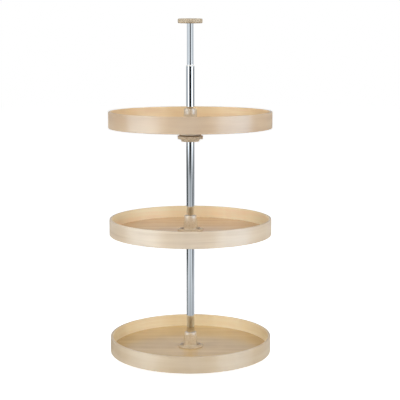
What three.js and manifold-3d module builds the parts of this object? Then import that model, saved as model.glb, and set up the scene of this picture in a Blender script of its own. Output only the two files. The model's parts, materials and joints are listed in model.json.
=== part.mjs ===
// Rotating pantry shelf set: three round wooden shelves that spin on a telescoping chrome post.
// Millimetres, +Z up. The origin is the centre of the base plate's underside, on the post's axis.

import * as THREE from 'three';
import { mergeVertices } from 'three/addons/utils/BufferGeometryUtils.js';
import Module from 'manifold-3d';

const wasm = await Module();
wasm.setup();

// ---------------------------------------------------------------------------
// Driving dimensions
// ---------------------------------------------------------------------------

// Shelves
const SHELF_DIAMETER = 508;
const RIM_HEIGHT = 50.8;
const RIM_WALL = 8;
const RIM_EDGE_ROUND = 1.5;
const FLOOR_THICKNESS = 9.3;
const FLOOR_RECESS = 3;
const LOWER_SHELF_PITCH = 376;
const UPPER_SHELF_PITCH = 334;

// Telescoping post
const LOWER_TUBE_DIAMETER = 25.4;
const LOWER_TUBE_WALL = 1.2;
const UPPER_TUBE_WALL = 1.2;
const GUIDE_BUSH_WALL = 0.6;
const GUIDE_BUSH_SKIRT = 25;
const GUIDE_BUSH_LIP_HEIGHT = 3.5;
const GUIDE_BUSH_LIP_INSET = 0.4;
const MOUTH_ABOVE_TOP_RIM = 138.5;
const UPPER_TUBE_EXPOSED = 126;
const UPPER_TUBE_OVERLAP = 250;

// End plates on the cabinet's floor and top
const PLATE_DIAMETER = 76;
const PLATE_HEIGHT = 14;
const PLATE_FLUTES = 24;
const PLATE_FLUTE_DEPTH = 1;
const PLATE_EDGE_ROUND = 3.5;
const PLATE_SPIGOT_LENGTH = 30;
const PLATE_SCREW_HOLE = 4.5;
const PLATE_SCREW_MARGIN = 6.75;
const PLATE_SCREWS = 4;
const PLATE_SCREW_TURN = 45;

// Hub on each shelf
const BOSS_HEIGHT = 46.5;
const BOSS_WALL = 2.25;
const BOSS_UPPER_TAPER = 1.6;
const BOSS_LOWER_TAPER = 0.9;
const BOSS_SHOULDER_DEPTH = 16;
const BOSS_CAP = 3;
const BOSS_EDGE_ROUND = 2;
const HUB_FLANGE_THICKNESS = 3.5;
const HUB_FLANGE_EDGE_ROUND = 1.2;
const HUB_FLANGE_MARGIN = 6.7;
const HUB_SPIGOT_WALL = 4.25;
const HUB_NECK_LENGTH = 18.6;
const HUB_NECK_MARGIN = 5;
const HUB_BUSH_WALL = 1.3;
const SCREW_HEAD_DIAMETER = 11;
const SCREW_HEAD_HEIGHT = 4.5;
const SCREW_HEAD_RIM = 1.5;
const SCREW_CROWN_DROP = 0.6;
const SCREW_CROWN_DIAMETER = 7.7;
const SCREW_SHANK_DIAMETER = 4;
const SCREW_THREAD_DEPTH = 8;
const SCREW_SLOT_LENGTH = 5.5;
const SCREW_SLOT_WIDTH = 1.4;
const SCREW_SLOT_DEPTH = 1.5;

// Carrier that clamps to the post below each shelf
const PILOT_WALL = 1.8;
const CARRIER_FLANGE_THICKNESS = 3.5;
const CARRIER_SPIGOT_WALL = 3;
const WASHER_THICKNESS = 1.5;
const WASHER_INSET = 2;
const COLLET_WALL = 2.4;
const COLLET_LENGTH = 15;
const COLLET_ROOF = 1.8;
const COLLET_SLOTS = 4;
const COLLET_SLOT_WIDTH = 1.5;
const COLLET_SLOT_LENGTH = 11;
const COLLET_END_RING = 3;
const NUT_DIAMETER = 80;
const NUT_GRIP_HEIGHT = 10;
const NUT_FLUTES = 20;
const NUT_FLUTE_DEPTH = 1.2;
const NUT_STEP_DIAMETER = 58;
const NUT_STEP_HEIGHT = 7.5;
const NUT_STEP_FLUTES = 14;
const NUT_EDGE_ROUND = 1.6;
const NUT_LIP = 3;

// Twist lock inside the post: an eccentric pin and a ring that jams against the bore
const CAM_PLUG_LENGTH = 25;
const CAM_SHOULDER = 3;
const CAM_PIN_DIAMETER = 12;
const CAM_OFFSET = 0.8;
const CAM_RING_LENGTH = 13;
const CAM_HEAD_LIP = 2;
const CAM_TWIST_DEGREES = 75;

// The hub screws of each shelf, spread evenly round the boss from +X
const HUB_SCREWS = ['right', 'left'];

// Clearances
const SEAT_GAP = 0.3;
const SLIDE_CLEARANCE = 0.3;
const RUNNING_CLEARANCE = 0.35;
const CAP_CLEARANCE = 0.6;
const END_GAP = 1.2;
const CAM_CLEARANCE = 0.2;

// Roundness of the round pieces
const SHELF_SIDES = 64;
const HUB_SIDES = 24;
const SCREW_SIDES = 12;
const FLUTE_STEPS = 3;
const HOLE_OVERRUN = 1;
const MERGE_DISTANCE = 1e-4;

// ---------------------------------------------------------------------------
// Worked-out sizes
// ---------------------------------------------------------------------------

const plateScrewRadius = (PLATE_DIAMETER - PLATE_SCREW_HOLE) / 2 - PLATE_SCREW_MARGIN;
const shelfRadius = SHELF_DIAMETER / 2;
const floorRadius = shelfRadius - RIM_WALL - SEAT_GAP;

// The radii stack outwards from the post.
const postRadius = LOWER_TUBE_DIAMETER / 2;
const postBore = postRadius - LOWER_TUBE_WALL;
const guideBushOuter = postBore - SEAT_GAP;
const guideBushBore = guideBushOuter - GUIDE_BUSH_WALL;
const upperTubeRadius = guideBushBore - SLIDE_CLEARANCE;
const upperTubeBore = upperTubeRadius - UPPER_TUBE_WALL;
const carrierBore = postRadius + SLIDE_CLEARANCE;
const pilotRadius = carrierBore + PILOT_WALL;
const bushBore = pilotRadius + RUNNING_CLEARANCE;
const bushRadius = bushBore + HUB_BUSH_WALL;
const hubBore = bushRadius + SEAT_GAP;
const bossTopRadius = hubBore + BOSS_WALL;
const bossShoulderRadius = bossTopRadius + BOSS_UPPER_TAPER;
const bossBaseRadius = bossShoulderRadius + BOSS_LOWER_TAPER;
const spigotRadius = hubBore + HUB_SPIGOT_WALL;
const floorHoleRadius = spigotRadius + SEAT_GAP;
const screwHeadRadius = SCREW_HEAD_DIAMETER / 2;
const screwShankRadius = SCREW_SHANK_DIAMETER / 2;
const screwHoleRadius = screwShankRadius + SEAT_GAP;
const screwCircleRadius = SEAT_GAP + Math.max(
  bossBaseRadius + screwHeadRadius,
  floorHoleRadius + screwHoleRadius + HUB_BUSH_WALL,
);
const hubFlangeRadius = screwCircleRadius + screwHeadRadius + HUB_FLANGE_MARGIN;
const neckRadius = screwCircleRadius + screwShankRadius + HUB_NECK_MARGIN;
const colletRadius = carrierBore + COLLET_WALL;
const colletPocket = colletRadius + SEAT_GAP;
const carrierSpigotRadius = colletPocket + CARRIER_SPIGOT_WALL;
const nutBore = carrierSpigotRadius + RUNNING_CLEARANCE;

// Heights in a shelf unit, from the rim's bottom edge.
const floorBottom = FLOOR_RECESS;
const floorTop = floorBottom + FLOOR_THICKNESS;
const hubFlangeBottom = floorTop + SEAT_GAP;
const hubFlangeTop = hubFlangeBottom + HUB_FLANGE_THICKNESS;
const bossTop = floorTop + BOSS_HEIGHT;
const bossCapBottom = bossTop - BOSS_CAP;
const bushTop = bossCapBottom - SEAT_GAP;
const pilotTop = bossCapBottom - END_GAP;
const underFlangeTop = floorBottom - SEAT_GAP;
const underFlangeBottom = underFlangeTop - HUB_FLANGE_THICKNESS;
const neckBottom = underFlangeBottom - HUB_NECK_LENGTH;
const spigotTop = floorTop;
const washerTop = neckBottom - SEAT_GAP;
const washerBottom = washerTop - WASHER_THICKNESS;
const carrierFlangeTop = washerBottom - SEAT_GAP;
const carrierFlangeBottom = carrierFlangeTop - CARRIER_FLANGE_THICKNESS;
const nutTop = carrierFlangeBottom - SEAT_GAP;
const nutGripBottom = nutTop - NUT_GRIP_HEIGHT;
const nutBottom = nutGripBottom - NUT_STEP_HEIGHT;
const nutLipTop = nutBottom + NUT_LIP;
const colletBottom = nutLipTop + SEAT_GAP;
const colletTop = Math.min(colletBottom + COLLET_LENGTH, carrierFlangeTop - COLLET_ROOF);
const colletPocketTop = colletTop + SEAT_GAP;
const carrierSpigotBottom = nutLipTop + END_GAP;

// Heights of the whole set, from the cabinet's floor.
const bottomShelfZ = PLATE_HEIGHT + END_GAP - nutBottom;
const middleShelfZ = bottomShelfZ + LOWER_SHELF_PITCH;
const topShelfZ = middleShelfZ + UPPER_SHELF_PITCH;
const lowerTubeBottom = PLATE_HEIGHT + SEAT_GAP;
const lowerTubeTop = topShelfZ + RIM_HEIGHT + MOUTH_ABOVE_TOP_RIM;
const bushLipTop = lowerTubeTop + SEAT_GAP + GUIDE_BUSH_LIP_HEIGHT;
const upperTubeTop = bushLipTop + UPPER_TUBE_EXPOSED;
const upperTubeBottom = lowerTubeTop - UPPER_TUBE_OVERLAP;
const topPlateBottom = upperTubeTop + SEAT_GAP;

// The twist lock hangs below the upper tube.
const camPinRadius = CAM_PIN_DIAMETER / 2;
const camRingBore = camPinRadius + RUNNING_CLEARANCE;
const camTwist = THREE.MathUtils.degToRad(CAM_TWIST_DEGREES);
const camThrow = 2 * CAM_OFFSET * Math.sin(camTwist / 2);
const camBoreReach = postBore * Math.cos(Math.PI / HUB_SIDES);
const camRingRadius = camBoreReach - camThrow - CAM_CLEARANCE;
const camShoulderTop = upperTubeBottom - SEAT_GAP;
const camShoulderBottom = camShoulderTop - CAM_SHOULDER;
const camRingTop = camShoulderBottom - SEAT_GAP;
const camRingBottom = camRingTop - CAM_RING_LENGTH;
const camPinBottom = camRingBottom - SEAT_GAP;
const camHeadRadius = camRingBore + CAM_HEAD_LIP;

// ---------------------------------------------------------------------------
// Materials
// ---------------------------------------------------------------------------

const finishes = {
  rimWood: { color: 0xe0cba8, roughness: 0.35, metalness: 0 },
  floorWood: { color: 0xd7b991, roughness: 0.4, metalness: 0 },
  tanPlastic: { color: 0xc4ab8c, roughness: 0.35, metalness: 0 },
  chrome: { color: 0xd8dade, roughness: 0.08, metalness: 1 },
  nylon: { color: 0xeeece6, roughness: 0.5, metalness: 0 },
  steel: { color: 0x6b6a6c, roughness: 0.35, metalness: 1 },
};

function mesh(name, solid, finish) {
  const found = solid.getMesh();
  const geometry = new THREE.BufferGeometry();
  geometry.setAttribute('position', new THREE.BufferAttribute(new Float32Array(found.vertProperties), 3));
  geometry.setIndex(new THREE.BufferAttribute(new Uint32Array(found.triVerts), 1));
  const material = new THREE.MeshStandardMaterial({ ...finishes[finish], flatShading: true });
  const piece = new THREE.Mesh(geometry, material);
  piece.name = name;
  return piece;
}

// ---------------------------------------------------------------------------
// Solids
// ---------------------------------------------------------------------------

// A closed three.js geometry as a solid that can be cut and joined.
function solidFrom(geometry) {
  const bare = new THREE.BufferGeometry();
  bare.setAttribute('position', geometry.getAttribute('position'));
  if (geometry.index) {
    bare.setIndex(geometry.index);
  }
  const merged = mergeVertices(bare, MERGE_DISTANCE);
  const corners = merged.index.array;
  const triangles = [];
  for (let i = 0; i < corners.length; i += 3) {
    const [a, b, c] = [corners[i], corners[i + 1], corners[i + 2]];
    if (a !== b && b !== c && c !== a) {
      triangles.push(a, b, c);
    }
  }
  return new wasm.Manifold(new wasm.Mesh({
    numProp: 3,
    vertProperties: new Float32Array(merged.getAttribute('position').array),
    triVerts: new Uint32Array(triangles),
  }));
}

// A turned piece about Z. Its outline is a list of [radius, height], anticlockwise with the
// radius to the right and the height up. An outline off the axis closes on itself.
function turned(outline, sides) {
  const points = outline.map(([radius, height]) => new THREE.Vector2(radius, height));
  const first = outline[0];
  const last = outline[outline.length - 1];
  if (first[0] > 0 || last[0] > 0) {
    points.push(new THREE.Vector2(first[0], first[1]));
  }
  const geometry = new THREE.LatheGeometry(points, sides);
  geometry.rotateX(Math.PI / 2);
  return solidFrom(geometry);
}

function ring(bore, radius, bottom, top, sides = HUB_SIDES) {
  return turned([[bore, bottom], [radius, bottom], [radius, top], [bore, top]], sides);
}

function rod(radius, bottom, top, sides = HUB_SIDES) {
  return turned([[0, bottom], [radius, bottom], [radius, top], [0, top]], sides);
}

function box(width, depth, bottom, top) {
  const geometry = new THREE.BoxGeometry(width, depth, top - bottom);
  geometry.translate(0, 0, (top + bottom) / 2);
  return solidFrom(geometry);
}

// A disc with shallow flutes round its edge and rounded upper and lower corners.
function flutedDisc(radius, flutes, fluteDepth, edgeRound, bottom, top) {
  const inner = radius - edgeRound;
  const shape = new THREE.Shape();
  const steps = flutes * FLUTE_STEPS;
  for (let i = 0; i < steps; i += 1) {
    const angle = (i / steps) * 2 * Math.PI;
    const reach = inner - (fluteDepth / 2) * (1 - Math.cos(flutes * angle));
    const x = reach * Math.cos(angle);
    const y = reach * Math.sin(angle);
    if (i === 0) {
      shape.moveTo(x, y);
    } else {
      shape.lineTo(x, y);
    }
  }
  const geometry = new THREE.ExtrudeGeometry(shape, {
    depth: top - bottom - 2 * edgeRound,
    bevelThickness: edgeRound,
    bevelSize: edgeRound,
    bevelSegments: 1,
    curveSegments: 1,
  });
  geometry.translate(0, 0, bottom + edgeRound);
  return solidFrom(geometry);
}

// Copies of a solid spread evenly round the Z axis at a radius, with the first on +X.
function aroundAxis(solid, radius, count) {
  const copies = [];
  for (let i = 0; i < count; i += 1) {
    copies.push(solid.translate([radius, 0, 0]).rotate([0, 0, (360 * i) / count]));
  }
  return copies;
}

function cut(solid, tools) {
  return tools.reduce((rest, tool) => rest.subtract(tool), solid);
}

function join(solids) {
  return solids.reduce((whole, solid) => whole.add(solid));
}

// ---------------------------------------------------------------------------
// Shelf pieces, from the rim's bottom edge
// ---------------------------------------------------------------------------

function shelfRim() {
  const inner = shelfRadius - RIM_WALL;
  return turned([
    [inner, 0],
    [shelfRadius - RIM_EDGE_ROUND, 0],
    [shelfRadius, RIM_EDGE_ROUND],
    [shelfRadius, RIM_HEIGHT - RIM_EDGE_ROUND],
    [shelfRadius - RIM_EDGE_ROUND, RIM_HEIGHT],
    [inner + RIM_EDGE_ROUND, RIM_HEIGHT],
    [inner, RIM_HEIGHT - RIM_EDGE_ROUND],
  ], SHELF_SIDES);
}

function screwHoles(bottom, top) {
  const hole = rod(screwHoleRadius, bottom, top, SCREW_SIDES);
  return aroundAxis(hole, screwCircleRadius, HUB_SCREWS.length);
}

function shelfFloor() {
  const panel = rod(floorRadius, floorBottom, floorTop, SHELF_SIDES);
  const hubHole = rod(floorHoleRadius, floorBottom - HOLE_OVERRUN, floorTop + HOLE_OVERRUN);
  const holes = screwHoles(floorBottom - HOLE_OVERRUN, floorTop + HOLE_OVERRUN);
  return cut(panel, [hubHole, ...holes]);
}

// The upper half of the hub: a round flange on the floor and a boss round the post, which
// tapers a little up to its shoulder and more above it.
function hubBoss() {
  const body = turned([
    [hubBore, hubFlangeBottom],
    [hubFlangeRadius, hubFlangeBottom],
    [hubFlangeRadius, hubFlangeTop - HUB_FLANGE_EDGE_ROUND],
    [hubFlangeRadius - HUB_FLANGE_EDGE_ROUND, hubFlangeTop],
    [bossBaseRadius, hubFlangeTop],
    [bossShoulderRadius, bossTop - BOSS_SHOULDER_DEPTH],
    [bossTopRadius, bossTop - BOSS_EDGE_ROUND],
    [bossTopRadius - BOSS_EDGE_ROUND, bossTop],
    [carrierBore + CAP_CLEARANCE, bossTop],
    [carrierBore + CAP_CLEARANCE, bossCapBottom],
    [hubBore, bossCapBottom],
  ], HUB_SIDES);
  return cut(body, screwHoles(hubFlangeBottom - HOLE_OVERRUN, hubFlangeTop + HOLE_OVERRUN));
}

// The lower half: a spigot through the floor, a flange under it and a neck down to the bearing.
function hubUnderflange() {
  const body = turned([
    [hubBore, neckBottom],
    [neckRadius, neckBottom],
    [neckRadius, underFlangeBottom],
    [hubFlangeRadius, underFlangeBottom],
    [hubFlangeRadius, underFlangeTop],
    [spigotRadius, underFlangeTop],
    [spigotRadius, spigotTop],
    [hubBore, spigotTop],
  ], HUB_SIDES);
  return cut(body, screwHoles(underFlangeTop - SCREW_THREAD_DEPTH - SEAT_GAP, underFlangeTop + HOLE_OVERRUN));
}

function hubBush() {
  return ring(bushBore, bushRadius, neckBottom, bushTop);
}

// Round-headed machine screws, one each side of the boss.
function hubScrews() {
  const seat = hubFlangeTop + SEAT_GAP;
  const crown = seat + SCREW_HEAD_HEIGHT;
  const body = turned([
    [0, underFlangeTop - SCREW_THREAD_DEPTH],
    [screwShankRadius, underFlangeTop - SCREW_THREAD_DEPTH],
    [screwShankRadius, seat],
    [screwHeadRadius, seat],
    [screwHeadRadius, seat + SCREW_HEAD_RIM],
    [SCREW_CROWN_DIAMETER / 2, crown - SCREW_CROWN_DROP],
    [0, crown],
  ], SCREW_SIDES);
  const slot = box(SCREW_SLOT_LENGTH, SCREW_SLOT_WIDTH, crown - SCREW_SLOT_DEPTH, crown + HOLE_OVERRUN);
  const screw = cut(body, [slot, slot.rotate([0, 0, 90])]);
  return aroundAxis(screw, screwCircleRadius, HUB_SCREWS.length);
}

// ---------------------------------------------------------------------------
// Carrier pieces, below each shelf
// ---------------------------------------------------------------------------

// The carrier's sleeve runs up inside the hub, its flange carries the thrust washer, and its
// spigot takes the lock nut's thread and the collet.
function carrierBody() {
  return turned([
    [colletPocket, carrierSpigotBottom],
    [carrierSpigotRadius, carrierSpigotBottom],
    [carrierSpigotRadius, carrierFlangeBottom],
    [neckRadius, carrierFlangeBottom],
    [neckRadius, carrierFlangeTop],
    [pilotRadius, carrierFlangeTop],
    [pilotRadius, pilotTop],
    [carrierBore, pilotTop],
    [carrierBore, colletPocketTop],
    [colletPocket, colletPocketTop],
  ], HUB_SIDES);
}

function thrustWasher() {
  return ring(pilotRadius + RUNNING_CLEARANCE, neckRadius - WASHER_INSET, washerBottom, washerTop);
}

// A sleeve with slots up from its lower end, squeezed onto the post when the nut is turned.
function collet() {
  const sleeve = ring(carrierBore, colletRadius, colletBottom, colletTop);
  const slotTop = Math.min(colletBottom + COLLET_SLOT_LENGTH, colletTop - COLLET_END_RING);
  const slot = box(COLLET_WALL + 2 * HOLE_OVERRUN, COLLET_SLOT_WIDTH, colletBottom - HOLE_OVERRUN, slotTop);
  const middle = (carrierBore + colletRadius) / 2;
  return cut(sleeve, aroundAxis(slot, middle, COLLET_SLOTS));
}

// The stepped hand nut that shows under the shelf.
function lockNut() {
  const grip = flutedDisc(
    NUT_DIAMETER / 2, NUT_FLUTES, NUT_FLUTE_DEPTH, NUT_EDGE_ROUND, nutGripBottom, nutTop,
  );
  const step = flutedDisc(
    NUT_STEP_DIAMETER / 2, NUT_STEP_FLUTES, NUT_FLUTE_DEPTH, NUT_EDGE_ROUND,
    nutBottom, nutGripBottom + NUT_EDGE_ROUND + HOLE_OVERRUN,
  );
  const bore = turned([
    [0, nutBottom - HOLE_OVERRUN],
    [carrierBore + CAP_CLEARANCE, nutBottom - HOLE_OVERRUN],
    [carrierBore + CAP_CLEARANCE, nutLipTop],
    [nutBore, nutLipTop],
    [nutBore, nutTop + HOLE_OVERRUN],
    [0, nutTop + HOLE_OVERRUN],
  ], HUB_SIDES);
  return grip.add(step).subtract(bore);
}

// ---------------------------------------------------------------------------
// Post pieces, from the cabinet's floor
// ---------------------------------------------------------------------------

// A fluted end plate with a spigot for the inside of its tube, standing on its flat face.
function endPlate(tubeBore) {
  const spigotTopZ = PLATE_HEIGHT + PLATE_SPIGOT_LENGTH;
  const disc = flutedDisc(
    PLATE_DIAMETER / 2, PLATE_FLUTES, PLATE_FLUTE_DEPTH, PLATE_EDGE_ROUND, 0, PLATE_HEIGHT,
  );
  const spigot = rod(tubeBore - SEAT_GAP, PLATE_HEIGHT - HOLE_OVERRUN, spigotTopZ);
  const hole = rod(PLATE_SCREW_HOLE / 2, -HOLE_OVERRUN, PLATE_HEIGHT + HOLE_OVERRUN, SCREW_SIDES);
  const holes = aroundAxis(hole, plateScrewRadius, PLATE_SCREWS);
  return cut(disc.add(spigot), holes.map((tool) => tool.rotate([0, 0, PLATE_SCREW_TURN])));
}

function topPlate() {
  return endPlate(upperTubeBore).rotate([180, 0, 0]).translate([0, 0, topPlateBottom + PLATE_HEIGHT]);
}

function lowerTube() {
  return ring(postBore, postRadius, lowerTubeBottom, lowerTubeTop);
}

function upperTube() {
  return ring(upperTubeBore, upperTubeRadius, upperTubeBottom, upperTubeTop);
}

// A thin liner in the lower tube's mouth, with a lip over the tube's end.
function guideBush() {
  return turned([
    [guideBushBore, lowerTubeTop - GUIDE_BUSH_SKIRT],
    [guideBushOuter, lowerTubeTop - GUIDE_BUSH_SKIRT],
    [guideBushOuter, lowerTubeTop + SEAT_GAP],
    [postRadius - GUIDE_BUSH_LIP_INSET, lowerTubeTop + SEAT_GAP],
    [postRadius - GUIDE_BUSH_LIP_INSET, bushLipTop],
    [guideBushBore, bushLipTop],
  ], HUB_SIDES);
}

// A plug pressed into the upper tube's lower end, with an eccentric pin and a retaining head.
function camCore() {
  const plug = rod(upperTubeBore - SEAT_GAP, camShoulderTop, camShoulderTop + CAM_PLUG_LENGTH);
  const shoulder = rod(upperTubeRadius, camShoulderBottom, camShoulderTop);
  const pin = turned([
    [0, camPinBottom - CAM_SHOULDER],
    [camHeadRadius, camPinBottom - CAM_SHOULDER],
    [camHeadRadius, camPinBottom],
    [camPinRadius, camPinBottom],
    [camPinRadius, camShoulderBottom + HOLE_OVERRUN],
    [0, camShoulderBottom + HOLE_OVERRUN],
  ], HUB_SIDES);
  return join([plug, shoulder, pin.translate([CAM_OFFSET, 0, 0])]);
}

// The ring on the pin. At rest it is twisted over against the lower tube's bore.
function camRing() {
  const outer = rod(camRingRadius, camRingBottom, camRingTop);
  const bore = rod(camRingBore, camRingBottom - HOLE_OVERRUN, camRingTop + HOLE_OVERRUN);
  const eccentric = outer.translate([-CAM_OFFSET, 0, 0]).subtract(bore);
  return eccentric.rotate([0, 0, CAM_TWIST_DEGREES]).translate([CAM_OFFSET, 0, 0]);
}

// ---------------------------------------------------------------------------
// The shelf set
// ---------------------------------------------------------------------------

const shelfPieces = [
  ['shelf_rim', shelfRim(), 'rimWood'],
  ['shelf_floor', shelfFloor(), 'floorWood'],
  ['hub_boss', hubBoss(), 'tanPlastic'],
  ['hub_underflange', hubUnderflange(), 'tanPlastic'],
  ['hub_bush', hubBush(), 'nylon'],
  ...hubScrews().map((screw, i) => [`hub_screw_${HUB_SCREWS[i]}`, screw, 'steel']),
  ['carrier', carrierBody(), 'tanPlastic'],
  ['thrust_washer', thrustWasher(), 'nylon'],
  ['collet', collet(), 'nylon'],
  ['lock_nut', lockNut(), 'tanPlastic'],
];

const postPieces = [
  ['base_plate', endPlate(postBore), 'tanPlastic'],
  ['lower_post_tube', lowerTube(), 'chrome'],
  ['post_guide_bush', guideBush(), 'nylon'],
  ['upper_post_tube', upperTube(), 'chrome'],
  ['top_plate', topPlate(), 'tanPlastic'],
  ['lock_cam_core', camCore(), 'nylon'],
  ['lock_cam_ring', camRing(), 'nylon'],
];

function shelfUnit(level, height) {
  const unit = new THREE.Group();
  for (const [name, solid, finish] of shelfPieces) {
    unit.add(mesh(`${level}_${name}`, solid, finish));
  }
  unit.position.z = height;
  return unit;
}

const group = new THREE.Group();
for (const [name, solid, finish] of postPieces) {
  group.add(mesh(name, solid, finish));
}
group.add(shelfUnit('bottom', bottomShelfZ));
group.add(shelfUnit('middle', middleShelfZ));
group.add(shelfUnit('top', topShelfZ));

export default group;
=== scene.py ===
"""Looks of a rotating pantry shelf set: lacquered wood shelves, chrome post and tan plastic hubs.

Metres, +Z up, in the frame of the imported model. Each visible piece is modelled round the box of
the node that it stands for.
"""

import json
import math

import bmesh
import bpy
from mathutils import Matrix, Vector


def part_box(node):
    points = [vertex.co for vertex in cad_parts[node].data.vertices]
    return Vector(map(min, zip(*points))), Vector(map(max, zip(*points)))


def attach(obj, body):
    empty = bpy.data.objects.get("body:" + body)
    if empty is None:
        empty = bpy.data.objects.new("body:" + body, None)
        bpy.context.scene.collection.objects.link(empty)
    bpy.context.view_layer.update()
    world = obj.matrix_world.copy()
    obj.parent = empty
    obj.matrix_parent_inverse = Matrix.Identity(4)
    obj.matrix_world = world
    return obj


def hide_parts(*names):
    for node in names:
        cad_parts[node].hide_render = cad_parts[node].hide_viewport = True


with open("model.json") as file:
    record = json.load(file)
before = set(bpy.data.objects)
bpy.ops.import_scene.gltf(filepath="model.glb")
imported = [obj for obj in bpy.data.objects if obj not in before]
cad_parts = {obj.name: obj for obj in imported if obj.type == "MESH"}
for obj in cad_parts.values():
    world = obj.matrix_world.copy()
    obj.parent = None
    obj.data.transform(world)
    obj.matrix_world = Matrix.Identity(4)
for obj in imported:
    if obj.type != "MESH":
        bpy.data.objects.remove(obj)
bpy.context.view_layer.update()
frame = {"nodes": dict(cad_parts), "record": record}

MM = 0.001
LEVELS = ("bottom", "middle", "top")

# ---------------------------------------------------------------------------
# Sizes that the boxes of the nodes don't give
# ---------------------------------------------------------------------------

# Clearances, the bore round the post, and how far a tool reaches past what it cuts or joins.
SEAT_GAP = 0.3 * MM
POST_BORE = 13 * MM
BORE_EASE = 0.6 * MM
OVERLAP = 1 * MM

# Roundings of edges that several pieces share, from one that is just broken to a lead-in.
BROKEN_EDGE = 0.3 * MM
FINE_ROUND = 0.4 * MM
SMALL_ROUND = 0.5 * MM
LEAD_ROUND = 0.8 * MM

# Shelves.
RIM_WALL = 8 * MM
RIM_ROUND = 1.8 * MM
FLOOR_HOLE = 21.3 * MM

# Hubs. FLANGE_MATT is how far above the flange its matt finish reaches.
HUB_BORE = 16.75 * MM
BOSS_TOP_RADIUS = 18.3 * MM
BOSS_TOP_ROUND = 2 * MM
BOSS_BROW_RADIUS = 19.9 * MM
BOSS_BROW_DEPTH = 6 * MM
BOSS_BROW_ROUND = 12 * MM
BOSS_SHOULDER_RADIUS = 20.8 * MM
BOSS_SHOULDER_DEPTH = 16 * MM
BOSS_SHOULDER_ROUND = 6 * MM
BOSS_BASE_RADIUS = 21.5 * MM
BOSS_BASE_ROUND = 2.2 * MM
BOSS_CAP = 3 * MM
FLANGE_THICKNESS = 3.5 * MM
FLANGE_ROUND = 1.2 * MM
FLANGE_MATT = 0.3 * MM
UNDERFLANGE_ROUND = 1 * MM
SPIGOT_RADIUS = 21 * MM
NECK_RADIUS = 34.3 * MM
NECK_FILLET = 1.5 * MM

# Screws of the hubs: a low dome on an upright edge, and a shank with a blunt point.
HEAD_HEIGHT = 4.5 * MM
HEAD_EDGE = 1.2 * MM
DOME_STEPS = 8
SHANK_RADIUS = 2 * MM
POINT_RADIUS = 1.2 * MM
POINT_HEIGHT = 1.2 * MM

# Their cross recess: SLOT_TAPER is its size at the floor as a share of that at the top, and
# SLOT_TURN is how far it stands turned, in radians.
SLOT_LENGTH = 6 * MM
SLOT_WIDTH = 1.5 * MM
SLOT_DEPTH = 2.4 * MM
SLOT_TAPER = 0.6
SLOT_TURN = 0.35

# Carriers, washers and nuts. A chamfer is its reach inwards and its height.
PILOT_RADIUS = 14.8 * MM
PILOT_EASE = 0.35 * MM
COLLET_POCKET = 15.7 * MM
CARRIER_SPIGOT = 18.7 * MM
CARRIER_CHAMFER = (5 * MM, 2.4 * MM)
CARRIER_ROUND = 0.6 * MM
NUT_BORE = 19.05 * MM
NUT_RADIUS = 40 * MM
NUT_DRAFT = 1 * MM
NUT_LOW_ROUND = 1.4 * MM
NUT_TOP_ROUND = 0.7 * MM
NUT_STEP_RADIUS = 29 * MM
NUT_STEP_HEIGHT = 7.5 * MM
NUT_STEP_ROUND = 1.2 * MM
NUT_LIP = 3 * MM

# Post.
LOWER_BORE = 11.5 * MM
UPPER_BORE = 9.1 * MM
BUSH_WALL = 0.9 * MM
BUSH_ROUND = 0.2 * MM
PLATE_RADIUS = 38 * MM
PLATE_HEIGHT = 14 * MM
PLATE_ROUND = 3.5 * MM
PLATE_FLUTE_DEPTH = 0.3 * MM
PLATE_SCREW_CIRCLE = 29 * MM
PLATE_HOLES = 4
PLATE_HOLE = 2.25 * MM
COUNTERSINK = 5.5 * MM
COUNTERSINK_DEPTH = 3 * MM

# Turned pieces: their sides, the steps of their fillets, and their flutes with FLUTE_STEPS sides
# each. SEAM is where their grain starts and ends: at the back, in turns from +X.
SHELF_SIDES = 256
HUB_SIDES = 96
SMALL_SIDES = 32
FILLET_STEPS = 5
RING_FILLET_STEPS = 4
GRIP_FLUTES = 36
STEP_FLUTES = 26
FLUTE_STEPS = 8
FLUTE_DEPTH = 1.2 * MM
FLUTED_BAND = 2.6 * MM
SEAM = 0.25
ON_AXIS = 1e-9

# Shading: the sharpest edge that stays smooth, and how far a fillet's support points stand from it
# as a share of its radius.
SHARP_ANGLE = math.radians(35)
SUPPORT_SHARE = 0.2

# ---------------------------------------------------------------------------
# Meshes
# ---------------------------------------------------------------------------


def link(obj):
    """The object, put in the scene."""
    bpy.context.scene.collection.objects.link(obj)
    return obj


def made(name, work):
    """An object in the scene from a bmesh, which is freed."""
    mesh = bpy.data.meshes.new(name)
    work.to_mesh(mesh)
    work.free()
    return link(bpy.data.objects.new(name, mesh))


def arc(centre, start, end, steps):
    """Points of the short arc about centre between two arms, start and end."""
    first = math.atan2(start.y, start.x)
    sweep = (math.atan2(end.y, end.x) - first + math.pi) % (2 * math.pi) - math.pi
    angles = [first + sweep * k / steps for k in range(steps + 1)]
    return [centre + start.length * Vector((math.cos(a), math.sin(a))) for a in angles]


def filleted(corners, steps=FILLET_STEPS):
    """An outline of (radius, height, fillet) corners as points, with each fillet a true arc.

    A point on each side of a fillet keeps the flat beyond it flat under smooth shading.
    """
    points = []
    for i, (radius, height, fillet) in enumerate(corners):
        corner = Vector((radius, height))
        if not fillet:
            points.append(corner)
            continue
        before = (Vector(corners[i - 1][:2]) - corner).normalized()
        after = (Vector(corners[(i + 1) % len(corners)][:2]) - corner).normalized()
        half = before.angle(after) / 2
        reach = fillet / math.tan(half)
        centre = corner + (before + after).normalized() * fillet / math.sin(half)
        bend = arc(centre, corner + before * reach - centre, corner + after * reach - centre, steps)
        support = SUPPORT_SHARE * fillet
        points += [corner + before * (reach + support), *bend, corner + after * (reach + support)]
    return points


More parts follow.
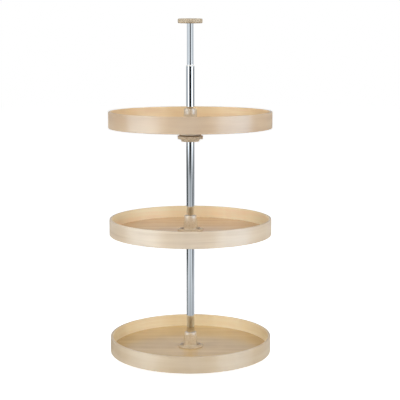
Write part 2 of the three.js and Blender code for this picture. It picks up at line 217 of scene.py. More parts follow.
def mark_sharp(mesh):
    """Outward normals, and smooth shading with a crease at each edge sharper than SHARP_ANGLE."""
    work = bmesh.new()
    work.from_mesh(mesh)
    bmesh.ops.recalc_face_normals(work, faces=work.faces)
    for face in work.faces:
        face.smooth = True
    for edge in work.edges:
        edge.smooth = not edge.is_manifold or edge.calc_face_angle() < SHARP_ANGLE
    work.to_mesh(mesh)
    work.free()


def turned(name, outline, sides, flutes=0, fluted_from=0.0, flute_depth=FLUTE_DEPTH):
    """A piece turned about Z from an outline. One that starts and ends on the axis is closed there.

    Points beyond fluted_from are drawn in by flutes. The UV map is in metres: the way round
    the piece at its widest, and the way along the outline.
    """
    work = bmesh.new()
    uv = work.loops.layers.uv.new("UVMap")
    widest = max(p.x for p in outline)
    on_axis = outline[0].x < ON_AXIS
    rings = []
    for point in outline:
        if point.x < ON_AXIS:
            rings.append([work.verts.new((0, 0, point.y))] * sides)
            continue
        ring = []
        for k in range(sides):
            angle = 2 * math.pi * (k / sides + SEAM)
            reach = point.x
            if flutes and point.x > fluted_from:
                reach -= flute_depth * (1 - abs(math.sin(flutes * angle / 2))) ** 2
            ring.append(work.verts.new((reach * math.cos(angle), reach * math.sin(angle), point.y)))
        rings.append(ring)
    along = [0.0]
    closing = list(outline[1:]) + ([] if on_axis else [outline[0]])
    for a, b in zip(outline, closing):
        along.append(along[-1] + (b - a).length)
    for i in range(len(along) - 1):
        low, high = rings[i], rings[(i + 1) % len(rings)]
        for k in range(sides):
            m = (k + 1) % sides
            corners = [(low[k], k, i), (low[m], k + 1, i)]
            corners += [(high[m], k + 1, i + 1), (high[k], k, i + 1)]
            kept = [c for n, c in enumerate(corners) if c[0] is not corners[n - 1][0]]
            face = work.faces.new([c[0] for c in kept])
            for loop, (_, step, row) in zip(face.loops, kept):
                loop[uv].uv = (2 * math.pi * widest * (step / sides + SEAM), along[row])
    piece = made(name, work)
    mark_sharp(piece.data)
    return piece


def ring_outline(bore, radius, low, high, fillet):
    """A plain ring with the same fillet at each of its edges."""
    corners = [(bore, low), (radius, low), (radius, high), (bore, high)]
    return filleted([(*corner, fillet) for corner in corners], RING_FILLET_STEPS)


def apply_modifier(piece, modifier):
    """Works the piece's only modifier into its mesh."""
    graph = bpy.context.evaluated_depsgraph_get()
    mesh = bpy.data.meshes.new_from_object(piece.evaluated_get(graph))
    piece.modifiers.remove(modifier)
    old = piece.data
    piece.data = mesh
    bpy.data.meshes.remove(old)


def boolean(piece, tools, operation="DIFFERENCE"):
    """The piece with the tools cut from it or joined to it, and then deleted."""
    for tool in tools:
        modifier = piece.modifiers.new("boolean", "BOOLEAN")
        modifier.operation = operation
        modifier.solver = "EXACT"
        modifier.object = tool
        apply_modifier(piece, modifier)
        bpy.data.objects.remove(tool)
    mark_sharp(piece.data)
    return piece


def placed(piece, x=0.0, y=0.0, z=0.0, turn=0.0, flip=False):
    """The piece's mesh turned about Z, turned over if flip, and moved."""
    over = Matrix.Rotation(math.pi, 4, "X") if flip else Matrix.Identity(4)
    piece.data.transform(Matrix.Translation((x, y, z)) @ Matrix.Rotation(turn, 4, "Z") @ over)
    piece.data.update()
    return piece


def slot_cutter(length, width, low, high):
    """A cutter for a slot along X, which is shorter and narrower below."""
    half_l, half_w = length / 2, width / 2
    shape = [(-half_l, -half_w), (half_l, -half_w), (half_l, half_w), (-half_l, half_w)]
    work = bmesh.new()
    bottom = [work.verts.new((x * SLOT_TAPER, y * SLOT_TAPER, low)) for x, y in shape]
    top = [work.verts.new((x, y, high)) for x, y in shape]
    work.faces.new(reversed(bottom))
    work.faces.new(top)
    for k in range(len(shape)):
        work.faces.new((bottom[k - 1], bottom[k], top[k], top[k - 1]))
    return made("slot", work)


# ---------------------------------------------------------------------------
# Materials
# ---------------------------------------------------------------------------


class Graph:
    """A material's node tree, built from short calls."""

    def __init__(self, name):
        self.material = bpy.data.materials.new(name)
        self.material.use_nodes = True
        self.tree = self.material.node_tree
        self.tree.nodes.clear()
        self.shader = self.tree.nodes.new("ShaderNodeBsdfPrincipled")
        output = self.tree.nodes.new("ShaderNodeOutputMaterial")
        self.tree.links.new(self.shader.outputs[0], output.inputs[0])

    def put(self, target, value):
        """Sets a socket, or links it if the value is another socket."""
        if isinstance(value, bpy.types.NodeSocket):
            self.tree.links.new(value, target)
        else:
            target.default_value = value

    def add(self, kind, inputs, output=0, **settings):
        """The chosen output of a new node with its inputs and settings."""
        node = self.tree.nodes.new("ShaderNode" + kind)
        for key, value in settings.items():
            setattr(node, key, value)
        for key, value in inputs.items():
            self.put(node.inputs[key], value)
        return node.outputs[output]

    def noise(self, source, scale, detail, roughness, distortion=0.0, offset=(0, 0, 0)):
        """Noise over the coordinate, with so many spots a metre along each axis."""
        place = {"Vector": source, "Scale": scale, "Location": offset}
        inputs = {"Vector": self.add("Mapping", place), "Scale": 1.0}
        inputs |= {"Detail": detail, "Roughness": roughness, "Distortion": distortion}
        return self.add("TexNoise", inputs)

    def ramp(self, value, low, high):
        """0 up to low, 1 from high, and smooth between them."""
        inputs = {"Value": value, "From Min": low, "From Max": high}
        return self.add("MapRange", inputs, interpolation_type="SMOOTHSTEP")

    def between(self, factor, a, b):
        """The colour a at factor 0 and b at factor 1, which are the node's inputs 6 and 7."""
        return self.add("Mix", {0: factor, 6: a, 7: b}, output=2, data_type="RGBA")

    def span(self, factor, a, b):
        """The value a at factor 0 and b at factor 1."""
        return self.add("MapRange", {"Value": factor, "To Min": a, "To Max": b})

    def tinted(self, colour, tint, share, value, low, high):
        """The colour, with up to a share of the tint in it where the value is high."""
        return self.between(self.span(self.ramp(value, low, high), 0.0, share), colour, tint)

    def bump(self, height, strength, distance):
        """Gives the shader's surface a relief."""
        inputs = {"Height": height, "Strength": strength, "Distance": distance}
        self.put(self.shader.inputs["Normal"], self.add("Bump", inputs))

    def set(self, **values):
        """The material, with these inputs of its shader set."""
        for key, value in values.items():
            self.put(self.shader.inputs[key.replace("_", " ")], value)
        return self.material


def linear(red, green, blue):
    """An sRGB colour of 0 to 255 as linear RGBA."""
    parts = [c / 255 for c in (red, green, blue)]
    return tuple(c / 12.92 if c <= 0.04045 else ((c + 0.055) / 1.055) ** 2.4 for c in parts) + (1.0,)


# The layers of the grain: spots a metre along and across it, detail, roughness and distortion.
GRAIN = {
    "bands": ((2.2, 34, 34), 4, 0.55, 0.35),
    "fibres": ((14, 620, 620), 5, 0.65, 0.0),
    "curl": ((26, 9, 9), 2, 0.5, 0.0),
    "flecks": ((95, 1500, 1500), 2, 0.6, 0.0),
    "lines": ((1.1, 120, 120), 3, 0.7, 0.2),
}
# How far the grain of one veneer lies from that of the next, in the layers' spots.
GRAIN_SHIFT = (1.7, 0.9, 0.4)
FIRST_SEED = 3.0
# The turn that lays the stretched highlights of the lacquer across the grain.
QUARTER_TURN = 0.25
# Spots a metre of the fine texture on moulded plastic.
SPARKED_TEXTURE = 2600


def wood(name, coordinate, seed, pale, deep, streak, streaking, anisotropy, ior, specular, gloss):
    """Lacquered maple. The grain runs along the coordinate's first axis, in metres."""
    g = Graph(name)
    if coordinate == "UV":
        source = g.add("UVMap", {}, uv_map="UVMap")
    else:
        source = g.add("TexCoord", {}, output=coordinate)
    offset = [seed * shift for shift in GRAIN_SHIFT]
    grain = {layer: g.noise(source, *values, offset) for layer, values in GRAIN.items()}
    colour = g.between(g.ramp(grain["bands"], 0.3, 0.7), pale, deep)
    colour = g.tinted(colour, deep, 0.32, grain["fibres"], 0.35, 0.75)
    colour = g.tinted(colour, pale, 0.25, grain["curl"], 0.4, 0.65)
    colour = g.tinted(colour, streak, streaking, grain["lines"], 0.62, 0.78)
    colour = g.tinted(colour, streak, 0.35, grain["flecks"], 0.66, 0.8)
    g.bump(grain["fibres"], strength=0.12, distance=0.2 * MM)
    return g.set(
        Base_Color=colour,
        Roughness=g.span(grain["bands"], *gloss),
        Anisotropic=anisotropy,
        Anisotropic_Rotation=QUARTER_TURN,
        IOR=ior,
        Specular_IOR_Level=specular,
    )


def plastic(name, colour, dark, marbling, gloss, specular, ior=1.5):
    """Moulded plastic with a marbling of so many spots a metre and a fine sparked texture."""
    g = Graph(name)
    source = g.add("TexCoord", {}, output="Object")
    marble = g.noise(source, (marbling,) * 3, detail=4, roughness=0.6, distortion=0.3)
    sparks = g.noise(source, (SPARKED_TEXTURE,) * 3, detail=2, roughness=0.5)
    g.bump(sparks, strength=0.15, distance=0.08 * MM)
    return g.set(
        Base_Color=g.between(g.ramp(marble, 0.36, 0.66), colour, dark),
        Roughness=g.span(marble, *gloss),
        IOR=ior,
        Specular_IOR_Level=specular,
    )


def metal(name, colour, smooth, rough, scale):
    """Metal with an uneven gloss, as from handling."""
    g = Graph(name)
    source = g.add("TexCoord", {}, output="Object")
    patches = g.noise(source, scale, detail=4, roughness=0.6, distortion=0.5)
    gloss = g.span(g.ramp(patches, 0.3, 0.75), smooth, rough)
    return g.set(Base_Color=colour, Metallic=1.0, Roughness=gloss)


MATERIALS = {
    "chrome": metal("chrome", (0.82, 0.83, 0.84, 1), 0.03, 0.06, (26, 26, 9)),
    "screw_steel": metal("screw_steel", linear(188, 172, 156), 0.25, 0.36, (700, 700, 700)),
    "tan_plastic": plastic(
        "tan_plastic", linear(217, 200, 172), linear(203, 183, 154), 210, (0.16, 0.25), 0.7, 1.8
    ),
    "flange_plastic": plastic(
        "flange_plastic", linear(219, 202, 173), linear(205, 185, 155), 210, (0.45, 0.55), 0.3
    ),
    # The nut hangs in the shade under its shelf: its plastic is made paler, as painted light.
    "nut_plastic_painted_light": plastic(
        "nut_plastic_painted_light", linear(228, 209, 178), linear(176, 154, 122), 330, (0.45, 0.6), 1.0
    ),
    # The end plates stand in full light: their plastic is made darker, as painted shade.
    "plate_plastic_painted_shade": plastic(
        "plate_plastic_painted_shade", linear(192, 173, 143), linear(176, 156, 125), 330, (0.5, 0.65), 1.0
    ),
    "nylon": plastic("nylon", linear(250, 250, 248), linear(244, 243, 238), 210, (0.3, 0.4), 0.5),
}
# The veneers of each shelf: pale, deep and streak colour.
WOODS = {
    "bottom_rim": (linear(220, 198, 165), linear(208, 182, 143), linear(183, 150, 110)),
    "middle_rim": (linear(230, 210, 182), linear(214, 190, 158), linear(187, 158, 123)),
    "top_rim": (linear(214, 186, 150), linear(199, 166, 128), linear(173, 135, 102)),
    # Inside veneers: their own warmer tone, made paler still as painted light for their shaded
    # walls.
    "bottom_inside": (linear(252, 240, 206), linear(243, 222, 181), linear(215, 186, 140)),
    "middle_inside": (linear(252, 244, 210), linear(251, 224, 185), linear(221, 185, 142)),
    "top_inside": (linear(252, 230, 188), linear(240, 207, 163), linear(209, 166, 125)),
    "bottom_floor": (linear(230, 199, 144), linear(215, 182, 128), linear(189, 155, 99)),
    "middle_floor": (linear(232, 198, 155), linear(217, 177, 133), linear(184, 144, 102)),
    "top_floor": (linear(224, 190, 149), linear(208, 172, 130), linear(178, 139, 99)),
}
# The faces of a shelf: coordinate of the grain, strength of its dark lines, and the lacquer's
# anisotropy, IOR, specular level and range of roughness.
FACES = {
    "rim": ("UV", 0.45, 0.85, 1.8, 1.0, (0.38, 0.46)),
    "inside": ("UV", 0.45, 0.85, 1.8, 0.35, (0.34, 0.42)),
    "floor": ("Object", 0.25, 0.0, 1.5, 0.8, (0.15, 0.23)),
}
for number, (name, colours) in enumerate(WOODS.items()):
    coordinate, *look = FACES[name.split("_")[1]]
    name += "_wood"
    MATERIALS[name] = wood(name, coordinate, FIRST_SEED + number, *colours, *look)


def finish_piece(piece, node, slot, *materials):
    """Puts the piece in place of its node, on the same body, in its materials or else the slot's."""
    piece.data.materials.clear()
    for name in materials or (slot,):
        piece.data.materials.append(MATERIALS[name])
    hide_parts(node)
    body = next(b for b, names in frame["record"]["behaviour"]["bodies"].items() if node in names)
    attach(piece, body)


# ---------------------------------------------------------------------------
# Shelf pieces
# ---------------------------------------------------------------------------


def shelf_rim(level):
    """The rim of bent wood, with a warmer veneer inside, also made paler as painted light."""
    node = level + "_shelf_rim"
    low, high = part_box(node)
    outline = ring_outline(high.x - RIM_WALL, high.x, low.z, high.z, RIM_ROUND)
    piece = turned(level + "_rim", outline, SHELF_SIDES)
    finish_piece(piece, node, "rim_wood", level + "_rim_wood", level + "_inside_wood")
    # The inside faces take the inside veneer, with its painted light.
    for face in piece.data.polygons:
        face.material_index = int(face.center.xy.length < high.x - RIM_WALL + RIM_ROUND)


def shelf_floor(level):
    """The flat round floor, with a hole for the hub."""
    node = level + "_shelf_floor"
    low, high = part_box(node)
    outline = ring_outline(FLOOR_HOLE, high.x, low.z, high.z, FINE_ROUND)
    piece = turned(level + "_floor", outline, SHELF_SIDES)
    finish_piece(piece, node, "floor_wood", level + "_floor_wood")


def hub_boss(level):
    """The boss above the floor: a barrel with a soft shoulder, on a flange with a matt finish."""
    node = level + "_hub_boss"
    low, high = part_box(node)
    flange = low.z + FLANGE_THICKNESS
    outline = filleted([
        (HUB_BORE, low.z, 0),
        (high.x, low.z, BROKEN_EDGE),
        (high.x, flange, FLANGE_ROUND),
        (BOSS_BASE_RADIUS, flange, BOSS_BASE_ROUND),
        (BOSS_SHOULDER_RADIUS, high.z - BOSS_SHOULDER_DEPTH, BOSS_SHOULDER_ROUND),
        (BOSS_BROW_RADIUS, high.z - BOSS_BROW_DEPTH, BOSS_BROW_ROUND),
        (BOSS_TOP_RADIUS, high.z, BOSS_TOP_ROUND),
        (POST_BORE + BORE_EASE, high.z, SMALL_ROUND),
        (POST_BORE + BORE_EASE, high.z - BOSS_CAP, 0),
        (HUB_BORE, high.z - BOSS_CAP, 0),
    ])
    piece = turned(level + "_boss", outline, HUB_SIDES)
    finish_piece(piece, node, "tan_plastic", "tan_plastic", "flange_plastic")
    for face in piece.data.polygons:
        face.material_index = int(face.center.z < flange + FLANGE_MATT)


def hub_underflange(level):
    """The flange under the floor, with a spigot up through it and a neck down to the bearing."""
    node = level + "_hub_underflange"
    low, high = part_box(node)
    floor_low, floor_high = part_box(level + "_shelf_floor")
    flange_top = high.z - (floor_high.z - floor_low.z) - SEAT_GAP
    flange_low = flange_top - FLANGE_THICKNESS
    outline = filleted([
        (HUB_BORE, low.z, 0),
        (NECK_RADIUS, low.z, LEAD_ROUND),
        (NECK_RADIUS, flange_low, NECK_FILLET),
        (high.x, flange_low, UNDERFLANGE_ROUND),
        (high.x, flange_top, BROKEN_EDGE),
        (SPIGOT_RADIUS, flange_top, 0),
        (SPIGOT_RADIUS, high.z, BROKEN_EDGE),
        (HUB_BORE, high.z, 0),
    ])
    finish_piece(turned(level + "_underflange", outline, HUB_SIDES), node, "tan_plastic")


def hub_screw(level, side):
    """A truss-head screw with a cross recess."""
    node = f"{level}_hub_screw_{side}"
    low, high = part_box(node)
    centre = (low + high) / 2
    head = (high.x - low.x) / 2
    seat = high.z - HEAD_HEIGHT
    rise = high.z - seat - HEAD_EDGE
    outline = [
        Vector((0, low.z)),
        Vector((POINT_RADIUS, low.z)),
        Vector((SHANK_RADIUS, low.z + POINT_HEIGHT)),
        Vector((SHANK_RADIUS, seat)),
        Vector((head, seat)),
    ]
    for k in range(DOME_STEPS + 1):
        angle = math.pi / 2 * k / DOME_STEPS
        outline.append(Vector((head * math.cos(angle), seat + HEAD_EDGE + rise * math.sin(angle))))
    outline[-1].x = 0.0
    screw = turned(f"{level}_screw_{side}", outline, SMALL_SIDES)
    slots = []
    for turn in (SLOT_TURN, SLOT_TURN + math.pi / 2):
        slot = slot_cutter(SLOT_LENGTH, SLOT_WIDTH, high.z - SLOT_DEPTH, high.z + OVERLAP)
        slots.append(placed(slot, turn=turn))
    boolean(screw, slots)
    placed(screw, centre.x, centre.y)
    finish_piece(screw, node, "screw_steel")


# ---------------------------------------------------------------------------
# Carrier pieces, below each shelf
# ---------------------------------------------------------------------------


def carrier(level):
    """The sleeve round the post: a flange under the washer, a pilot above and a spigot below."""
    node = level + "_carrier"
    low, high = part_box(node)
    flange_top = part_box(level + "_thrust_washer")[0].z - SEAT_GAP
    flange_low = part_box(level + "_lock_nut")[1].z + SEAT_GAP
    pocket_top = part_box(level + "_collet")[1].z + SEAT_GAP
    outline = filleted([
        (COLLET_POCKET, low.z, 0),
        (CARRIER_SPIGOT, low.z, SMALL_ROUND),
        (CARRIER_SPIGOT, flange_low, 0),
        (NECK_RADIUS - CARRIER_CHAMFER[0], flange_low, 0),
        (NECK_RADIUS, flange_low + CARRIER_CHAMFER[1], BROKEN_EDGE),
        (NECK_RADIUS, flange_top, CARRIER_ROUND),
        (PILOT_RADIUS, flange_top, 0),
        (PILOT_RADIUS, high.z, SMALL_ROUND),
        (POST_BORE, high.z, BROKEN_EDGE),
        (POST_BORE, pocket_top, 0),
        (COLLET_POCKET, pocket_top, 0),
    ])
    finish_piece(turned(level + "_carrier_body", outline, HUB_SIDES), node, "tan_plastic")


def thrust_washer(level):
    """The washer that the shelf turns on."""
    node = level + "_thrust_washer"
    low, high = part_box(node)
    outline = ring_outline(PILOT_RADIUS + PILOT_EASE, high.x, low.z, high.z, BROKEN_EDGE)
    finish_piece(turned(level + "_washer", outline, HUB_SIDES), node, "nylon")


def lock_nut(level):
    """The stepped hand nut: a fluted grip above a narrower fluted step."""
    node = level + "_lock_nut"
    low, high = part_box(node)
    shoulder = low.z + NUT_STEP_HEIGHT
    grip = turned(level + "_nut", filleted([
        (NUT_BORE, shoulder, 0),
        (NUT_RADIUS - NUT_DRAFT, shoulder, NUT_LOW_ROUND),
        (NUT_RADIUS, high.z, NUT_TOP_ROUND),
        (NUT_BORE, high.z, FINE_ROUND),
    ]), GRIP_FLUTES * FLUTE_STEPS, GRIP_FLUTES, NUT_RADIUS - FLUTED_BAND)
    step = turned("nut_step", filleted([
        (POST_BORE + BORE_EASE, low.z, FINE_ROUND),
        (NUT_STEP_RADIUS - NUT_DRAFT, low.z, NUT_STEP_ROUND),
        (NUT_STEP_RADIUS, shoulder + OVERLAP, 0),
        (NUT_BORE, shoulder + OVERLAP, 0),
        (NUT_BORE, low.z + NUT_LIP, 0),
        (POST_BORE + BORE_EASE, low.z + NUT_LIP, 0),
    ]), STEP_FLUTES * FLUTE_STEPS, STEP_FLUTES, NUT_STEP_RADIUS - FLUTED_BAND)
    # The nut takes the paler plastic: painted light for its shade under the shelf.
    finish_piece(boolean(grip, [step], "UNION"), node, "tan_plastic", "nut_plastic_painted_light")


# ---------------------------------------------------------------------------
# Post pieces
# ---------------------------------------------------------------------------


def end_plate(name, node, tube_bore, flip):
    """A fluted end plate with countersunk screw holes and a spigot into its tube."""
    low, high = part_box(node)
    spigot_end = high.z - low.z
    outline = filleted([
        (0, 0, 0),
        (PLATE_RADIUS, 0, PLATE_ROUND),
        (PLATE_RADIUS, PLATE_HEIGHT, PLATE_ROUND),
        (tube_bore - SEAT_GAP, PLATE_HEIGHT, FINE_ROUND),
        (tube_bore - SEAT_GAP, spigot_end, LEAD_ROUND),
        (0, spigot_end, 0),
    ])
    sides = GRIP_FLUTES * FLUTE_STEPS
    fluted_from = PLATE_RADIUS - FLUTED_BAND
    plate = turned(name, outline, sides, GRIP_FLUTES, fluted_from, PLATE_FLUTE_DEPTH)
    holes = []
    for k in range(PLATE_HOLES):
        angle = math.pi / 4 + 2 * math.pi * k / PLATE_HOLES
        hole = turned("hole", [
            Vector((0, -OVERLAP)),
            Vector((PLATE_HOLE, -OVERLAP)),
            Vector((PLATE_HOLE, PLATE_HEIGHT - COUNTERSINK_DEPTH)),
            Vector((COUNTERSINK, PLATE_HEIGHT)),
            Vector((COUNTERSINK, PLATE_HEIGHT + OVERLAP)),
            Vector((0, PLATE_HEIGHT + OVERLAP)),
        ], SMALL_SIDES)
        x, y = PLATE_SCREW_CIRCLE * math.cos(angle), PLATE_SCREW_CIRCLE * math.sin(angle)
        holes.append(placed(hole, x, y))
    boolean(plate, holes)
    placed(plate, z=high.z if flip else low.z, flip=flip)
    # The plate takes the darker plastic: painted shade against the full light on it.
    finish_piece(plate, node, "tan_plastic", "plate_plastic_painted_shade")


def tube(name, node, bore):
    """A tube of the post."""
    low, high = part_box(node)
    outline = ring_outline(bore, high.x, low.z, high.z, FINE_ROUND)
    finish_piece(turned(name, outline, HUB_SIDES), node, "chrome")


def guide_bush():
    """The bush in the mouth of the lower tube, with a lip that rests on the mouth."""
    node = "post_guide_bush"
    low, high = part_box(node)
    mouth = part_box("lower_post_tube")[1].z + SEAT_GAP
    outline = filleted([
        (LOWER_BORE - BUSH_WALL, low.z, 0),
        (LOWER_BORE - SEAT_GAP, low.z, 0),
        (LOWER_BORE - SEAT_GAP, mouth, 0),
        (high.x, mouth, BUSH_ROUND),
        (high.x, high.z, LEAD_ROUND),
        (LOWER_BORE - BUSH_WALL, high.z, BUSH_ROUND),
    ])
    finish_piece(turned("guide_bush", outline, HUB_SIDES), node, "nylon")


def repaint(node, slot):
    """A hidden inner piece keeps its CAD shape and takes the slot's material."""
    obj = frame["nodes"][node]
    obj.data.materials.clear()
    obj.data.materials.append(MATERIALS[slot])


for level in LEVELS:
    shelf_rim(level)
    shelf_floor(level)
    hub_boss(level)
    hub_underflange(level)
    hub_screw(level, "right")
    hub_screw(level, "left")
    carrier(level)
    thrust_washer(level)
    lock_nut(level)
    repaint(level + "_hub_bush", "nylon")
    repaint(level + "_collet", "nylon")
end_plate("base_disc", "base_plate", LOWER_BORE, False)
end_plate("top_disc", "top_plate", UPPER_BORE, True)
tube("lower_tube", "lower_post_tube", LOWER_BORE)
tube("upper_tube", "upper_post_tube", UPPER_BORE)
guide_bush()
repaint("lock_cam_core", "nylon")
repaint("lock_cam_ring", "nylon")

# ---------------------------------------------------------------------------
# Camera
# ---------------------------------------------------------------------------

# The lens and the post's place in the photograph are in pixels of its width, the sensor is in mm.
FRAME_PIXELS = 400
SENSOR = 36.0
FOCAL_PIXELS = 1067.2
CAMERA_DISTANCE = 3.306
CAMERA_ABOVE_TOP_RIM = 0.2155
CAMERA_PITCH = math.radians(-8.486)
POST_PIXEL = 190.3
CLIP_END = 60


def camera():
    """The photograph's view: from the front, a little above the top shelf."""
    data = bpy.data.cameras.new("camera")
    data.sensor_width = SENSOR
    data.lens = FOCAL_PIXELS / FRAME_PIXELS * SENSOR
    data.clip_end = CLIP_END
    obj = link(bpy.data.objects.new("camera", data))
    rim_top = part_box("top_shelf_rim")[1].z
    obj.location = (0, -CAMERA_DISTANCE, rim_top + CAMERA_ABOVE_TOP_RIM)
    aside = math.atan((FRAME_PIXELS / 2 - POST_PIXEL) / FOCAL_PIXELS)
    obj.rotation_euler = (math.pi / 2 + CAMERA_PITCH, 0, -aside)
    bpy.context.scene.camera = obj


camera()

# ---------------------------------------------------------------------------
# Stage and light
# ---------------------------------------------------------------------------

FLOOR_RADIUS = 14.0
FLOOR_SIDES = 96
FLOOR_COLOUR = 0.8
FLOOR_GLOW = 0.88
FLOOR_ROUGHNESS = 0.9
WORLD_LIGHT = 0.15

# Lamps: azimuth from the front in degrees, distance, height, width, length, power and tint. Gloss
# mirrors only the softboxes, and the fills light only colour, so that each can be set by itself.
SOFTBOXES = {
    "left_softbox": (-68, 3.2, 1.65, 3.2, 3.1, 56, (0.8, 1.02, 1.2)),
    "right_softbox": (64, 3.2, 1.65, 3.2, 3.1, 53, (0.68, 1.01, 1.42)),
}
FILLS = {
    "front_fill": (0, 3.8, 1.5, 2.4, 3.0, 67),
    "left_fill": (-76, 3.2, 1.8, 2.0, 3.4, 58),
    "right_fill": (76, 3.2, 1.8, 2.0, 3.4, 58),
    "left_back_fill": (-145, 3.2, 0.14, 2.4, 0.24, 18),
    "right_back_fill": (145, 3.2, 0.14, 2.4, 0.24, 18),
}
TOP_LIGHT = (0, 0.4, 3.4, 2.0, 2.0, 8)
AIM = (0, 0, 0.6)

# What the chrome mirrors round the set. Each card has its azimuths, and the shades of its wall
# below and above WALL_STEP, then (distance, shade) pairs on the floor from the wall inwards.
WALL_DISTANCE = 8.0
WALL_TOP = 5.0
WALL_STEP = 0.78
CARD_HEIGHT = 2 * MM
CARD_TINT = (0.93, 1.0, 1.06)
CARDS = {
    "far_left": (-180, -106, 0.44, 0.66, ((7.0, 0.12), (3.6, 0.35), (1.9, 0.15), (0.05, 0.17))),
    "left": (
        -106, -68, 0.45, 0.72,
        ((7.2, 0.3), (5.5, 0.12), (4.3, 0.055), (1.8, 0.065), (1.3, 0.4), (0.05, 0.48)),
    ),
    "left_bright": (
        -68, -33, 1.7, 0.84,
        ((6.9, 1.3), (5.5, 0.63), (3.6, 0.57), (1.9, 0.88), (1.3, 0.88), (0.7, 0.65), (0.05, 0.5)),
    ),
    "front_left": (
        -33, -14, 0.02, 0.88,
        ((6.5, 0.04), (5.3, 0.12), (4.6, 0.55), (1.9, 0.63), (0.7, 0.5), (0.05, 0.4)),
    ),
    "front": (
        -14, 24, 0.02, 0.02,
        ((6.5, 0.035), (5.3, 0.1), (4.5, 0.38), (3.6, 0.43), (1.8, 0.6), (0.7, 0.5), (0.05, 0.4)),
    ),
    "front_edge": (
        24, 34, 0.02, 1.05,
        ((6.5, 0.3), (5.0, 0.6), (3.7, 0.63), (1.9, 0.9), (1.2, 0.85), (0.7, 0.6), (0.05, 0.5)),
    ),
    "front_right": (
        34, 50, 1.7, 1.05,
        ((6.0, 1.0), (5.0, 0.6), (3.7, 0.63), (1.9, 0.9), (1.2, 0.85), (0.7, 0.6), (0.05, 0.5)),
    ),
    "right": (
        50, 82, 1.7, 0.7,
        (
            (7.0, 1.1), (6.0, 0.8), (5.0, 0.41), (4.1, 0.2),
            (1.9, 0.1), (1.4, 0.2), (1.15, 0.4), (0.05, 0.38),
        ),
    ),
    "far_right": (
        82, 180, 0.27, 0.66,
        ((7.0, 0.3), (5.5, 0.24), (3.6, 0.37), (1.8, 0.5), (1.3, 0.6), (0.05, 0.55)),
    ),
}
CARD_STEP = 4


def polar(azimuth, distance, height):
    """A point by its azimuth in degrees, from the front (-Y) towards +X."""
    angle = math.radians(azimuth)
    return Vector((distance * math.sin(angle), -distance * math.cos(angle), height))


def backdrop_share(tree):
    """1 for rays that show the backdrop: camera, glossy and transmission rays."""
    path = tree.nodes.new("ShaderNodeLightPath")
    total = path.outputs["Is Camera Ray"]
    for name in ("Is Glossy Ray", "Is Transmission Ray"):
        added = tree.nodes.new("ShaderNodeMath")
        added.operation = "ADD"
        added.use_clamp = True
        tree.links.new(total, added.inputs[0])
        tree.links.new(path.outputs[name], added.inputs[1])
        total = added.outputs[0]
    return total


def white_world():
    """A backdrop that shows as plain white and lights the set less."""
    world = bpy.data.worlds.new("studio")
    bpy.context.scene.world = world
    world.use_nodes = True
    tree = world.node_tree
    background = tree.nodes["Background"]
    background.inputs["Color"].default_value = (1, 1, 1, 1)
    strength = tree.nodes.new("ShaderNodeMapRange")
    strength.inputs["To Min"].default_value = WORLD_LIGHT
    strength.inputs["To Max"].default_value = 1.0
    tree.links.new(backdrop_share(tree), strength.inputs["Value"])
    tree.links.new(strength.outputs[0], background.inputs["Strength"])


def white_floor():
    """A pale floor that keeps the shadow and otherwise shows as the white of the backdrop."""
    work = bmesh.new()
    bmesh.ops.create_circle(work, cap_ends=True, segments=FLOOR_SIDES, radius=FLOOR_RADIUS)
    floor = made("floor", work)
    material = bpy.data.materials.new("floor")
    material.use_nodes = True
    tree = material.node_tree
    shader = tree.nodes["Principled BSDF"]
    shader.inputs["Base Color"].default_value = (FLOOR_COLOUR, FLOOR_COLOUR, FLOOR_COLOUR, 1)
    shader.inputs["Roughness"].default_value = FLOOR_ROUGHNESS
    shader.inputs["Specular IOR Level"].default_value = 0.0
    shader.inputs["Emission Color"].default_value = (1, 1, 1, 1)
    glow = tree.nodes.new("ShaderNodeMapRange")
    glow.inputs["To Min"].default_value = 0.0
    glow.inputs["To Max"].default_value = FLOOR_GLOW
    tree.links.new(backdrop_share(tree), glow.inputs["Value"])
    tree.links.new(glow.outputs[0], shader.inputs["Emission Strength"])
    floor.data.materials.append(material)


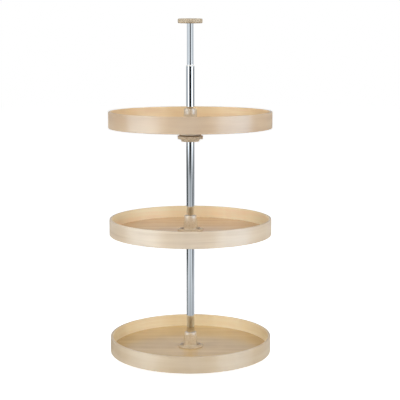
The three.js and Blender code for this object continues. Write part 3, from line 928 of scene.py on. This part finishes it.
def card(name, first, last, low_shade, high_shade, floor_stops, material):
    """A wall with a strip of floor before it, shaded by rows of points, that only gloss mirrors."""
    rows = [(WALL_DISTANCE, WALL_TOP, high_shade), (WALL_DISTANCE, WALL_STEP, high_shade)]
    rows += [(WALL_DISTANCE, WALL_STEP - MM, low_shade), (WALL_DISTANCE, CARD_HEIGHT, low_shade)]
    rows += [(distance, CARD_HEIGHT, shade) for distance, shade in floor_stops]
    count = round((last - first) / CARD_STEP)
    points, faces, shades = [], [], []
    for i, (distance, height, shade) in enumerate(rows):
        for k in range(count + 1):
            points.append(polar(first + (last - first) * k / count, distance, height))
            shades.append((*(shade * t for t in CARD_TINT), 1))
            if i and k:
                a, b = len(points) - 1, len(points) - 2
                faces.append((b, a, a - count - 1, b - count - 1))
    mesh = bpy.data.meshes.new(name)
    mesh.from_pydata(points, [], faces)
    mesh.color_attributes.new("shade", "FLOAT_COLOR", "POINT")
    for item, shade in zip(mesh.color_attributes["shade"].data, shades):
        item.color = shade
    mesh.materials.append(material)
    obj = link(bpy.data.objects.new(name, mesh))
    obj.visible_camera = False
    obj.visible_diffuse = False
    obj.visible_shadow = False


def card_material():
    """A surface that only glows, in the shades of its points."""
    material = bpy.data.materials.new("reflection_card")
    material.use_nodes = True
    tree = material.node_tree
    shader = tree.nodes["Principled BSDF"]
    shader.inputs["Base Color"].default_value = (0, 0, 0, 1)
    shader.inputs["Specular IOR Level"].default_value = 0.0
    shade = tree.nodes.new("ShaderNodeVertexColor")
    shade.layer_name = "shade"
    tree.links.new(shade.outputs["Color"], shader.inputs["Emission Color"])
    shader.inputs["Emission Strength"].default_value = 1.0
    return material


def reflection_cards():
    """Dark and pale cards round the set, which give the chrome its lines."""
    material = card_material()
    for name, row in CARDS.items():
        card(name, *row, material)


def area_light(name, azimuth, distance, height, width, length, power, tint=(1, 1, 1)):
    """A flat lamp that faces the set."""
    data = bpy.data.lights.new(name, "AREA")
    data.color = tint
    data.shape = "RECTANGLE"
    data.size = width
    data.size_y = length
    data.energy = power
    lamp = link(bpy.data.objects.new(name, data))
    lamp.location = polar(azimuth, distance, height)
    lamp.rotation_euler = (Vector(AIM) - lamp.location).to_track_quat("-Z", "Y").to_euler()
    lamp.visible_camera = False
    return lamp


def spare(lamp, names):
    """Keeps the lamp off pieces that would mirror it. They mirror the cards instead."""
    skipped = bpy.data.collections.new(lamp.name + "_skips")
    for name in names:
        skipped.objects.link(bpy.data.objects[name])
    for item in skipped.collection_objects:
        item.light_linking.link_state = "EXCLUDE"
    lamp.light_linking.receiver_collection = skipped


TUBES = ["lower_tube", "upper_tube"]
FLOORS = [level + "_floor" for level in LEVELS]

white_world()
white_floor()
reflection_cards()
for name, values in SOFTBOXES.items():
    lamp = area_light(name, *values)
    lamp.visible_diffuse = False
    spare(lamp, TUBES + FLOORS)
for name, values in FILLS.items():
    area_light(name, *values).visible_glossy = False
spare(area_light("top_light", *TOP_LIGHT), TUBES)

bpy.context.scene.view_settings.view_transform = "Standard"
